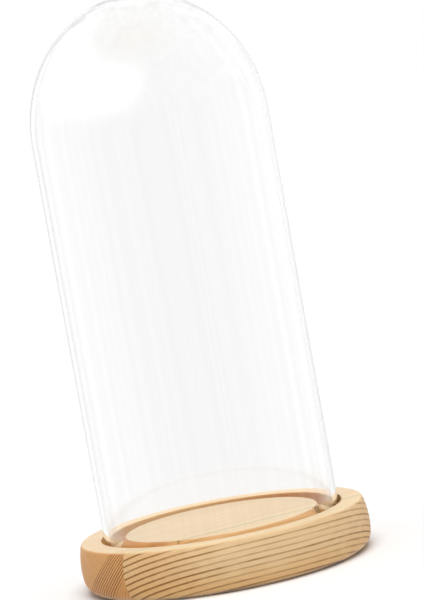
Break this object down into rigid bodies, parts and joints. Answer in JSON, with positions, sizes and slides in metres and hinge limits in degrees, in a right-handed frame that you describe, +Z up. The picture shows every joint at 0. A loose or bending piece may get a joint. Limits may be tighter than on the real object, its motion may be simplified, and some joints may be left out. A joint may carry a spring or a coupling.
{
  "type": "bell jar dome",
  "caption": "Round-topped glass dome that stands in the groove of a round wooden base, to cover and display a small object.",
  "frame": {"origin": "centre of the base's underside, which rests on the table", "axes": "+Z up along the turned axis and the way the dome lifts off, -Y towards the front, +X to the right"},
  "size_m": [0.15, 0.15, 0.298],
  "materials": {
    "pine_front": "clear satin varnish, flat-sawn pine with dark late-wood lines",
    "pine_rear": "clear satin varnish, finer and pinker pine",
    "clear_glass": "clear blown glass with a fire-polished lip"
  },
  "bodies": {
    "base": {"base_board_front": "pine_front", "base_board_rear": "pine_rear"},
    "dome": {"glass_dome": "clear_glass"}
  },
  "joints": [
    {"name": "dome_lift", "type": "slide", "parent": "base", "child": "dome", "axis": [0, 0, 1], "range_m": [0, 0.28]}
  ]
}
